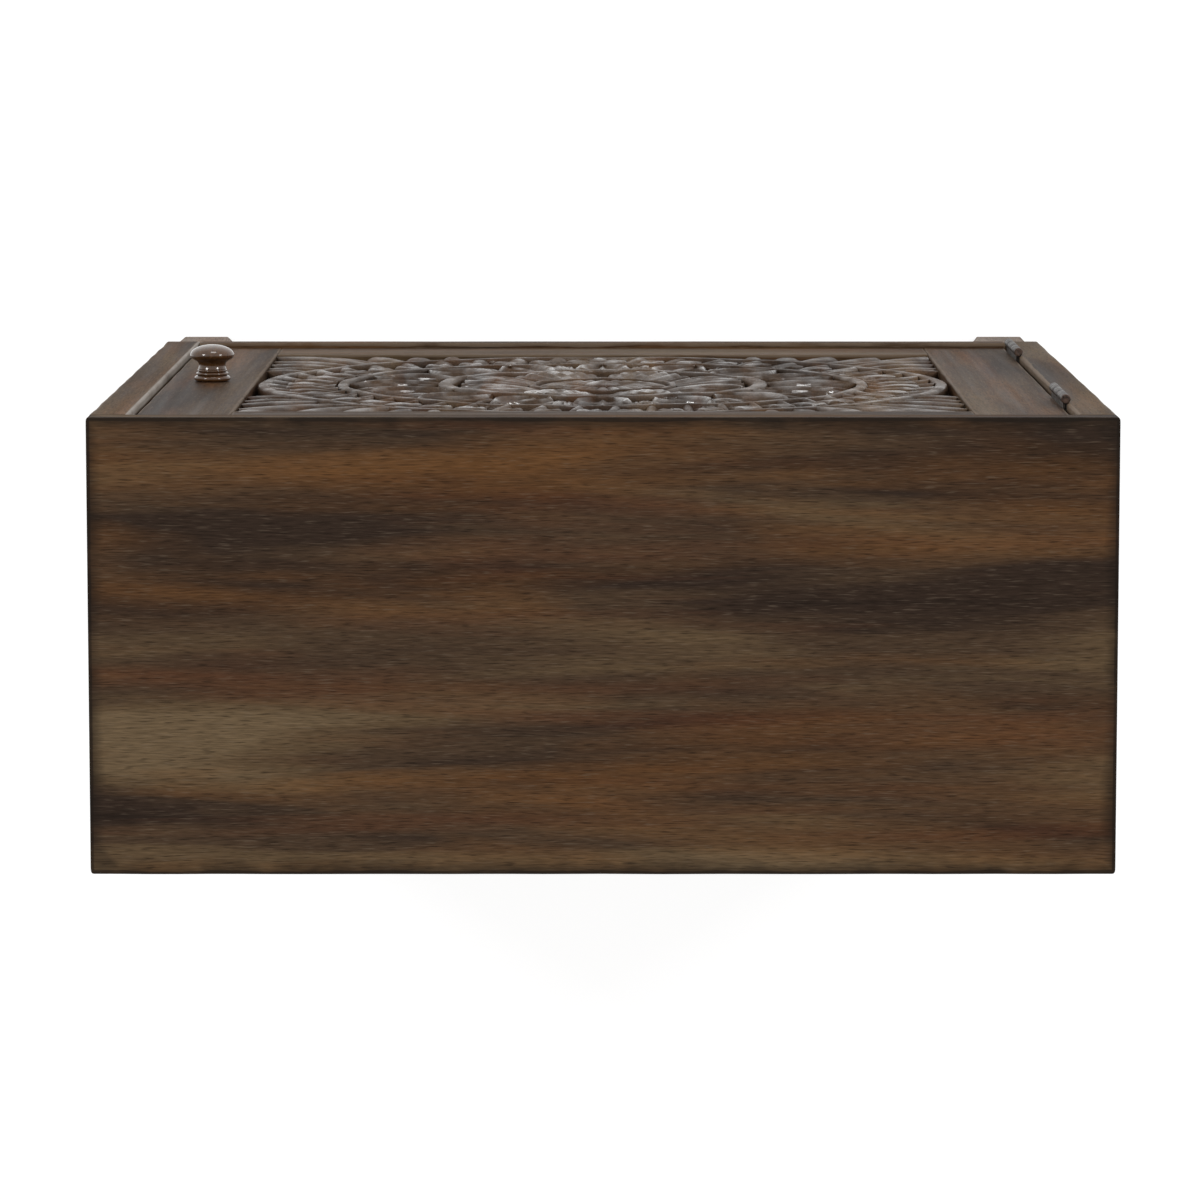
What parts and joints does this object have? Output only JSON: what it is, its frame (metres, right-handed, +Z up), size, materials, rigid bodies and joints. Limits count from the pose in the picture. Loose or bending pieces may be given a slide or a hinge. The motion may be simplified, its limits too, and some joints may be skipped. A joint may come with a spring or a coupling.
{
  "type": "accent cabinet",
  "caption": "Square wooden accent cabinet on block feet, with an inset hinged door whose panel is carved with a round floral medallion, a turned wooden knob and a shelf inside.",
  "frame": {"origin": "on the floor, under the middle of the cabinet's box, knob included", "axes": "+Z up, -Y towards the front with the door, +X to the right as seen from the front, where the knob is"},
  "size_m": [0.711, 0.3418, 0.777],
  "materials": {
    "top_wood": "dark walnut stain, satin, fine straight grain along the width",
    "case_wood": "dark walnut stain, satin, cloudy, worn at the edges",
    "door_wood": "dark walnut stain, satin, cloudy, worn at the edges",
    "carved_wood": "carved, dark walnut stain, satin, darker in the hollows",
    "foot_wood": "rubbed through, pale and worn",
    "back_wood": "plywood, stained",
    "dowel_wood": "bare beech",
    "knob_wood": "turned, dark, glossy",
    "hinge_metal": "aged dark metal",
    "hinge_pin_metal": "aged, rust brown",
    "fastener_steel": "plain steel",
    "catch_plastic": "brown moulded plastic"
  },
  "bodies": {
    "case": {"top_panel": "top_wood", "left_side_panel": "case_wood", "right_side_panel": "case_wood", "bottom_panel": "case_wood", "back_panel": "back_wood", "shelf": "case_wood", "shelf_pin_front_left": "fastener_steel", "shelf_pin_front_right": "fastener_steel", "shelf_pin_back_left": "fastener_steel", "shelf_pin_back_right": "fastener_steel", "foot_front_left": "foot_wood", "foot_front_right": "foot_wood", "foot_back_left": "foot_wood", "foot_back_right": "foot_wood", "foot_bolt_front_left": "fastener_steel", "foot_bolt_front_right": "fastener_steel", "foot_bolt_back_left": "fastener_steel", "foot_bolt_back_right": "fastener_steel", "top_dowel_front_left": "dowel_wood", "top_dowel_front_right": "dowel_wood", "top_dowel_back_left": "dowel_wood", "top_dowel_back_right": "dowel_wood", "bottom_dowel_front_left": "dowel_wood", "bottom_dowel_front_right": "dowel_wood", "bottom_dowel_back_left": "dowel_wood", "bottom_dowel_back_right": "dowel_wood", "back_screw_left_1": "fastener_steel", "back_screw_left_2": "fastener_steel", "back_screw_left_3": "fastener_steel", "back_screw_right_1": "fastener_steel", "back_screw_right_2": "fastener_steel", "back_screw_right_3": "fastener_steel", "upper_hinge_case_leaf": "hinge_metal", "lower_hinge_case_leaf": "hinge_metal", "upper_hinge_pin": "hinge_pin_metal", "lower_hinge_pin": "hinge_pin_metal", "upper_hinge_case_screw_1": "hinge_metal", "upper_hinge_case_screw_2": "hinge_metal", "lower_hinge_case_screw_1": "hinge_metal", "lower_hinge_case_screw_2": "hinge_metal", "catch_housing": "catch_plastic", "catch_magnet": "fastener_steel", "catch_screw_1": "fastener_steel", "catch_screw_2": "fastener_steel"},
    "door": {"door_hinge_stile": "door_wood", "door_knob_stile": "door_wood", "door_top_rail": "door_wood", "door_bottom_rail": "door_wood", "carved_panel": "carved_wood", "knob": "knob_wood", "knob_screw": "fastener_steel", "upper_hinge_door_leaf": "hinge_metal", "lower_hinge_door_leaf": "hinge_metal", "upper_hinge_door_screw_1": "hinge_metal", "upper_hinge_door_screw_2": "hinge_metal", "lower_hinge_door_screw_1": "hinge_metal", "lower_hinge_door_screw_2": "hinge_metal", "strike_plate": "fastener_steel", "strike_screw": "fastener_steel"}
  },
  "joints": [
    {"name": "door_hinge", "type": "hinge", "parent": "case", "child": "door", "pos_m": [-0.3275, -0.1501, 0.42], "axis": [0, 0, -1], "range_deg": [0, 180]}
  ]
}
